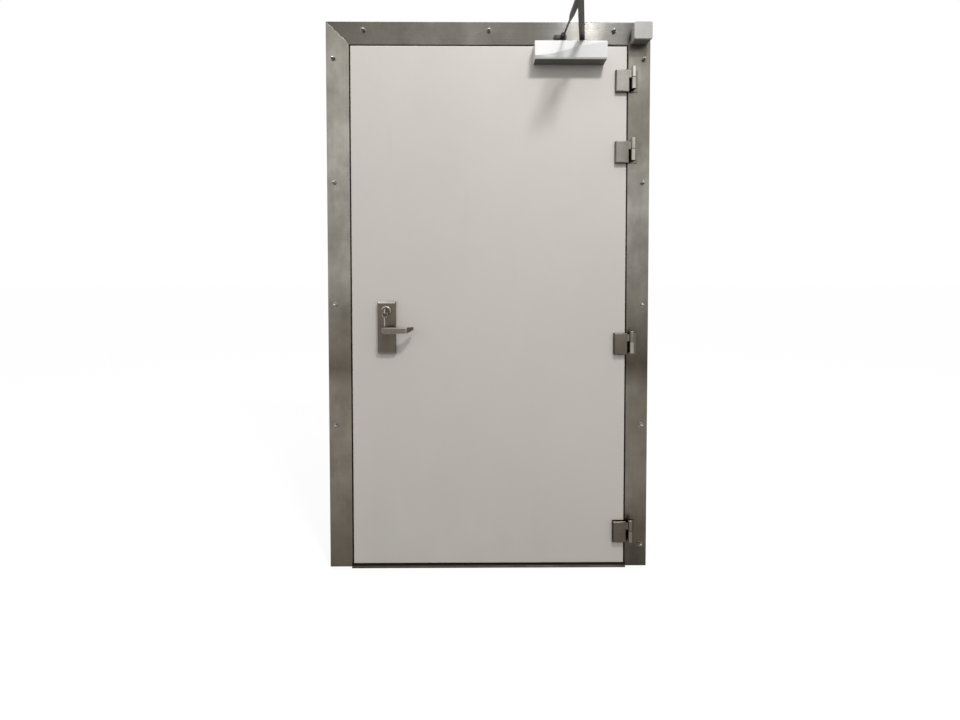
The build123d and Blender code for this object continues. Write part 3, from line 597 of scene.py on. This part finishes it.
HINGES = range(1, 5)
NODE_FINISHES = {
    "casing_head": head_steel,
    "casing_hinge_side": hinge_jamb_steel,
    "casing_latch_side": latch_jamb_steel,
    "threshold": threshold_steel,
    "strike_plate": plate_steel,
    "latch_plate": plate_steel,
    "core_head": member_plastic,
    "core_hinge_side": member_plastic,
    "core_latch_side": member_plastic,
    "leaf_front_skin": leaf_white,
    "leaf_back_skin": leaf_white,
    "leaf_core": core_plastic,
    "leaf_gasket": rubber,
    "leaf_sweep": rubber,
    "closer_housing": closer_silver,
    "closer_pinion": arm_steel,
    "closer_arm": arm_steel,
    "closer_forearm": arm_steel,
    "closer_shoe": shoe_steel,
    "trim_outside": trim_steel,
    "trim_inside": trim_steel,
    "lever_outside": lever_steel,
    "lever_inside": lever_steel,
    "lever_spindle": arm_steel,
    "lock_cylinder": lock_steel,
    "key": nickel,
    "key_ring": nickel,
    "spare_key": nickel,
    "junction_box": box_plastic,
    "junction_box_lid": box_plastic,
}
for number in HINGES:
    NODE_FINISHES[f"hinge_{number}_strap"] = hinge_steel
    NODE_FINISHES[f"hinge_{number}_foot"] = foot_steel
for node_name, node_material in NODE_FINISHES.items():
    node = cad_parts[node_name]
    for material_slot in node.material_slots:
        material_slot.material = node_material


def add_piece(name, shape, material, body, smooth=math.radians(38)):
    """Turn a bmesh into a piece that rides on a body."""
    bmesh.ops.recalc_face_normals(shape, faces=shape.faces)
    mesh = bpy.data.meshes.new(name)
    shape.to_mesh(mesh)
    shape.free()
    mesh.materials.append(material)
    for polygon in mesh.polygons:
        polygon.use_smooth = True
    mesh.set_sharp_from_angle(angle=smooth)
    piece = bpy.data.objects.new(name, mesh)
    bpy.context.scene.collection.objects.link(piece)
    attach(piece, body)
    return piece


def add_lathe(shape, profile, sides, matrix, hexagon=None):
    """Add a closed solid of revolution about local Z; hexagon gives each ring's share of a hex outline."""
    rings = []
    for index, (radius, level) in enumerate(profile):
        share = hexagon[index] if hexagon else 0.0
        ring = []
        for side in range(sides):
            angle = 2 * math.pi * side / sides
            facet = math.cos(angle % (math.pi / 3) - math.pi / 6)
            reach = radius * (1 + share * (math.cos(math.pi / 6) / facet - 1))
            spot = Vector((reach * math.cos(angle), reach * math.sin(angle), level))
            ring.append(shape.verts.new(matrix @ spot))
        rings.append(ring)
    for lower, upper in zip(rings, rings[1:]):
        for side in range(sides):
            after = (side + 1) % sides
            shape.faces.new((lower[side], lower[after], upper[after], upper[side]))
    shape.faces.new(list(reversed(rings[0])))
    shape.faces.new(rings[-1])


def facing(place, direction, turn=0.0):
    """A matrix that puts local Z along a direction, turned about it."""
    rotation = Vector(direction).to_track_quat("Z", "Y").to_matrix().to_4x4()
    return Matrix.Translation(Vector(place)) @ rotation @ Matrix.Rotation(turn, 4, "Z")


def dome_profile(radius, start, rise, steps):
    """Points of a quarter ellipse, from its rim to near its crown."""
    points = []
    for step in range(steps):
        angle = 0.5 * math.pi * step / steps
        points.append((radius * math.cos(angle), start + rise * math.sin(angle)))
    points.append((radius * CROWN_FLAT, start + rise))
    return points


def add_acorn_bolt(shape, place, turn):
    """A washer and a domed hexagon head on the casing's face."""
    matrix = facing(place, (0, -1, 0), turn)
    washer = [
        (WASHER_RADIUS, 0.0),
        (WASHER_RADIUS, WASHER_HEIGHT - BOLT_BEVEL),
        (WASHER_RADIUS - BOLT_BEVEL, WASHER_HEIGHT),
    ]
    add_lathe(shape, washer, BOLT_SIDES, matrix)
    corner = BOLT_HEX / math.cos(math.pi / 6)
    top = WASHER_HEIGHT + BOLT_HEX_HEIGHT
    head = [(corner, WASHER_HEIGHT), (corner, top - 3 * BOLT_BEVEL), (BOLT_HEX, top)]
    dome = dome_profile(BOLT_DOME, top, BOLT_HEIGHT - top, BOLT_DOME_STEPS)
    add_lathe(shape, head + dome, BOLT_SIDES, matrix, hexagon=HEX_SHARES + [0.0] * len(dome))


def add_screw(shape, place, direction, turn, radius=SCREW_RADIUS):
    """A low domed screw head with a round recess in its crown."""
    matrix = facing(place, direction, turn)
    dome = dome_profile(radius, 0.0, SCREW_DOME, SCREW_DOME_STEPS)
    recess = [(across * radius, SCREW_DOME * level) for across, level in (RECESS_RIM, RECESS_FLOOR)]
    add_lathe(shape, [(radius, -SCREW_SINK)] + dome[:-3] + recess, SCREW_SIDES, matrix)


hinge_low, hinge_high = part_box("casing_hinge_side")
latch_low, latch_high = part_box("casing_latch_side")
face_y = head_low.y
opening_top = head_low.z
hinge_edge = hinge_low.x
latch_edge = latch_high.x
top_bolt = opening_top - TOP_BOLT_DROP
bolt_rows = [LOWEST_BOLT + (top_bolt - LOWEST_BOLT) * row / (BOLT_ROWS - 1) for row in range(BOLT_ROWS)]
doorway_x = (hinge_edge + latch_edge) / 2
head_reach = (hinge_edge - latch_edge) / 2 - HEAD_BOLT_END
bolt_places = {
    "bolts_hinge_side": [(hinge_edge + BOLT_LINE, face_y, z) for z in bolt_rows],
    "bolts_latch_side": [(latch_edge - BOLT_LINE, face_y, z) for z in bolt_rows[1:]],
    "bolts_head": [(doorway_x + head_reach * way, face_y, opening_top + HEAD_BOLT_LINE) for way in (-1, 0, 1)],
}
chance = random.Random(7)
for bolts_name, places in bolt_places.items():
    bolts = bmesh.new()
    for place in places:
        add_acorn_bolt(bolts, place, chance.uniform(0, math.pi / 3))
    add_piece(bolts_name, bolts, bolt_zinc, "frame", smooth=math.radians(30))


def add_seam(name, start, end):
    """An uneven dressed weld along a mitre, from the inner to the outer corner of the casing."""
    shape = bmesh.new()
    run = Vector(end) - Vector(start)
    across = run.cross(Vector((0, 1, 0))).normalized()
    rings = []
    for step in range(SEAM_STEPS + 1):
        share = step / SEAM_STEPS
        taper = min(1.0, SEAM_TAPER * share, SEAM_TAPER * (1 - share))
        narrowing = SEAM_END_WIDTH + (1 - SEAM_END_WIDTH) * taper
        width = SEAM_WIDTH / 2 * (SEAM_NARROW + SEAM_SPREAD * chance.random()) * narrowing
        wave = SEAM_WIDTH * SEAM_WAVE * math.sin(SEAM_WAVE_RATE * share)
        wander = wave + SEAM_WIDTH * SEAM_JITTER * chance.uniform(-1, 1)
        centre = Vector(start) + run * share + across * wander
        ring = []
        for section in range(SEAM_SECTIONS + 1):
            angle = math.pi * section / SEAM_SECTIONS
            unevenness = SEAM_LOW + (1 - SEAM_LOW) * chance.random()
            rise = SEAM_HEIGHT * unevenness * taper * math.sin(angle)
            ring.append(shape.verts.new(centre + across * (width * math.cos(angle)) + Vector((0, -rise, 0))))
        rings.append(ring)
    for before, after in zip(rings, rings[1:]):
        for section in range(SEAM_SECTIONS):
            shape.faces.new((before[section], before[section + 1], after[section + 1], after[section]))
        shape.faces.new((before[SEAM_SECTIONS], before[0], after[0], after[SEAM_SECTIONS]))
    shape.faces.new(rings[0])
    shape.faces.new(list(reversed(rings[-1])))
    add_piece(name, shape, weld_metal, "frame", smooth=math.radians(60))


for seam_name, edge, outer in (
    ("seam_latch_mitre", latch_edge, latch_low.x),
    ("seam_hinge_mitre", hinge_edge, hinge_high.x),
):
    way = 1 if outer > edge else -1
    add_seam(
        seam_name,
        (edge + way * SEAM_END, face_y, opening_top + SEAM_END),
        (outer - way * SEAM_END, face_y, head_high.z - SEAM_END),
    )


def box_middle(node_name):
    """The middle of a node's box."""
    low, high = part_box(node_name)
    return (low + high) / 2


# Screws of the latch plate, strike plate, closer shoe and inside trim
latch_plate_low, latch_plate_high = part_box("latch_plate")
latch_screws = bmesh.new()
for level in (latch_plate_low.z + SCREW_INSET, latch_plate_high.z - SCREW_INSET):
    spot = (latch_plate_low.x, box_middle("latch_plate").y, level)
    add_screw(latch_screws, spot, (-1, 0, 0), chance.uniform(0, math.pi))
add_piece("latch_plate_screws", latch_screws, nickel, "leaf")

strike_low, strike_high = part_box("strike_plate")
strike_screws = bmesh.new()
for level in (strike_low.z + SCREW_INSET, strike_high.z - SCREW_INSET):
    spot = (strike_high.x, box_middle("strike_plate").y, level)
    add_screw(strike_screws, spot, (1, 0, 0), chance.uniform(0, math.pi))
add_piece("strike_plate_screws", strike_screws, nickel, "frame")

shoe_low, shoe_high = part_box("closer_shoe")
shoe_screws = bmesh.new()
for spot_x in (shoe_low.x + SHOE_SCREW_INSET, shoe_high.x - SHOE_SCREW_INSET):
    spot = (spot_x, face_y - SHOE_PLATE, box_middle("closer_shoe").z)
    add_screw(shoe_screws, spot, (0, -1, 0), chance.uniform(0, math.pi), SHOE_SCREW_RADIUS)
add_piece("closer_shoe_screws", shoe_screws, shoe_steel, "frame")

trim_low, trim_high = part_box("trim_inside")
trim_screws = bmesh.new()
for level in (trim_low.z + TRIM_SCREW_INSET, trim_high.z - TRIM_SCREW_INSET):
    spot = (box_middle("trim_inside").x, trim_high.y, level)
    add_screw(trim_screws, spot, (0, 1, 0), chance.uniform(0, math.pi))
add_piece("inside_trim_screws", trim_screws, nickel, "leaf")


def split_ring():
    """A key ring wound from one wire, nearly two turns side by side."""
    low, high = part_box("key_ring")
    centre = (low + high) / 2
    radius = (high.x - low.x) / 2 - RING_INSET * RING_WIRE
    curve = bpy.data.curves.new("split_ring", "CURVE")
    curve.dimensions = "3D"
    curve.bevel_depth = RING_WIRE
    curve.bevel_resolution = RING_FINENESS
    spline = curve.splines.new("POLY")
    spline.points.add(RING_POINTS - 1)
    for index, point in enumerate(spline.points):
        share = index / (RING_POINTS - 1)
        angle = 2 * math.pi * RING_TURNS * share
        depth = centre.y + (share - 0.5) * RING_SPREAD * RING_WIRE
        point.co = (centre.x + radius * math.sin(angle), depth, centre.z + radius * math.cos(angle), 1.0)
    curve.use_fill_caps = True
    curve.materials.append(nickel)
    ring = bpy.data.objects.new("split_ring", curve)
    bpy.context.scene.collection.objects.link(ring)
    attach(ring, "leaf")
    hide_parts("key_ring")


split_ring()


def leaf_seal():
    """The leaf's gasket: a flange with a soft bulb that closes on the stop, round three sides."""
    low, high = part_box("leaf_gasket")
    depth = high.y - low.y
    flange = SEAL_FLANGE * depth
    corner = SEAL_CORNER * SEAL_WIDTH
    bulb_start = SEAL_BULB_START * SEAL_WIDTH
    bulb_width = SEAL_BULB_WIDTH * SEAL_WIDTH
    rim = SEAL_RIM * flange
    section = [(0.0, 0.0), (0.0, rim), (corner, flange), (bulb_start, flange)]
    for step in range(SEAL_STEPS + 1):
        angle = math.pi * step / SEAL_STEPS
        across = bulb_start + bulb_width / 2 * (1 - math.cos(angle))
        swell = (depth - flange) * math.sin(angle) ** SEAL_ROUNDNESS * SEAL_CROWN
        section.append((across, flange + swell + SEAL_OVERLAP))
    lip = SEAL_WIDTH - corner
    section += [(bulb_start + bulb_width, flange), (lip, flange), (SEAL_WIDTH, rim), (SEAL_WIDTH, 0.0)]
    shape = bmesh.new()
    stations = []
    for turn in range(4):
        ring = []
        for across, rise in section:
            x = low.x + across if turn < 2 else high.x - across
            z = high.z - across if turn in (1, 2) else low.z
            ring.append(shape.verts.new((x, low.y + rise, z)))
        stations.append(ring)
    count = len(section)
    for before, after in zip(stations, stations[1:]):
        for index in range(count):
            following = (index + 1) % count
            shape.faces.new((before[index], before[following], after[following], after[index]))
    shape.faces.new(stations[0])
    shape.faces.new(list(reversed(stations[-1])))
    seal = add_piece("leaf_seal", shape, rubber, "leaf", smooth=math.radians(50))
    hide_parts("leaf_gasket")


leaf_seal()


def add_stage():
    """A white floor that keeps a soft shadow."""
    mesh = bpy.data.meshes.new("floor")
    half = FLOOR_SIZE / 2
    corners = [(-half, -half, 0.0), (half, -half, 0.0), (half, half, 0.0), (-half, half, 0.0)]
    mesh.from_pydata(corners, [], [(0, 1, 2, 3)])
    floor = bpy.data.objects.new("floor", mesh)
    floor.location.z = -FLOOR_DROP
    bpy.context.scene.collection.objects.link(floor)
    material = bpy.data.materials.new("floor_white")
    material.use_nodes = True
    tree = material.node_tree
    tree.nodes.clear()
    output = tree.nodes.new("ShaderNodeOutputMaterial")
    mix = tree.nodes.new("ShaderNodeMixShader")
    diffuse = tree.nodes.new("ShaderNodeBsdfDiffuse")
    glow = tree.nodes.new("ShaderNodeEmission")
    glow.inputs["Color"].default_value = (1.0, 1.0, 1.0, 1.0)
    seen = seen_rays(tree)
    tone = tree.nodes.new("ShaderNodeMapRange")
    tone.inputs["To Min"].default_value = FLOOR_BOUNCE
    tone.inputs["To Max"].default_value = FLOOR_WHITE
    tree.links.new(seen, tone.inputs["Value"])
    tree.links.new(tone.outputs["Result"], diffuse.inputs["Color"])
    share = tree.nodes.new("ShaderNodeMath")
    share.operation = "MULTIPLY"
    share.inputs[1].default_value = FLOOR_GLOW
    tree.links.new(seen, share.inputs[0])
    tree.links.new(share.outputs["Value"], mix.inputs["Fac"])
    tree.links.new(diffuse.outputs["BSDF"], mix.inputs[1])
    tree.links.new(glow.outputs["Emission"], mix.inputs[2])
    tree.links.new(mix.outputs["Shader"], output.inputs["Surface"])
    mesh.materials.append(material)


def seen_rays(tree):
    """1 for camera, glossy and transmission rays, which see the white surround."""
    path = tree.nodes.new("ShaderNodeLightPath")
    total = path.outputs["Is Camera Ray"]
    for name in ("Is Glossy Ray", "Is Transmission Ray"):
        larger = tree.nodes.new("ShaderNodeMath")
        larger.operation = "MAXIMUM"
        tree.links.new(total, larger.inputs[0])
        tree.links.new(path.outputs[name], larger.inputs[1])
        total = larger.outputs["Value"]
    return total


def add_world():
    """White where it is seen, and a plain ambient level for everything else."""
    world = bpy.data.worlds.new("surround")
    bpy.context.scene.world = world
    world.use_nodes = True
    tree = world.node_tree
    background = tree.nodes["Background"]
    background.inputs["Color"].default_value = (1.0, 1.0, 1.0, 1.0)
    strength = tree.nodes.new("ShaderNodeMapRange")
    strength.inputs["To Min"].default_value = AMBIENT
    strength.inputs["To Max"].default_value = 1.0
    tree.links.new(seen_rays(tree), strength.inputs["Value"])
    tree.links.new(strength.outputs["Result"], background.inputs["Strength"])


def add_lamp(name, energy, place, aim, size, matt=True, gloss=True):
    """A rectangular soft lamp aimed at a point, which may light only the matt or only the glossy response."""
    light = bpy.data.lights.new(name, "AREA")
    light.energy = energy
    light.shape = "RECTANGLE"
    light.size, light.size_y = size
    lamp = bpy.data.objects.new(name, light)
    lamp.location = place
    direction = Vector(aim) - Vector(place)
    lamp.rotation_euler = direction.to_track_quat("-Z", "Y").to_euler()
    lamp.visible_diffuse = matt
    lamp.visible_glossy = gloss
    bpy.context.scene.collection.objects.link(lamp)


def add_camera():
    """The photograph's view: a nearly level wide lens, a little over two metres from the face."""
    data = bpy.data.cameras.new("camera")
    data.sensor_width = SENSOR_WIDTH
    data.lens = FOCAL_PIXELS * SENSOR_WIDTH / IMAGE_WIDTH
    data.shift_x = (IMAGE_WIDTH / 2 - PRINCIPAL_X) / IMAGE_WIDTH
    data.shift_y = (PRINCIPAL_Y - IMAGE_HEIGHT / 2) / IMAGE_WIDTH
    data.clip_start = CLIP_START
    camera = bpy.data.objects.new("camera", data)
    camera.location = CAMERA_PLACE
    camera.rotation_euler = (math.pi / 2 - CAMERA_TILT, 0.0, -CAMERA_YAW)
    bpy.context.scene.collection.objects.link(camera)
    bpy.context.scene.camera = camera


add_stage()
add_world()
add_lamp("key_lamp", KEY_ENERGY, KEY_PLACE, KEY_AIM, KEY_SIZE, gloss=False)
add_lamp("sheen_lamp", SHEEN_ENERGY, SHEEN_PLACE, KEY_AIM, SHEEN_SIZE, matt=False)
add_lamp("top_lamp", TOP_ENERGY, TOP_PLACE, TOP_AIM, TOP_SIZE)
add_camera()
bpy.context.scene.view_settings.view_transform = "Standard"
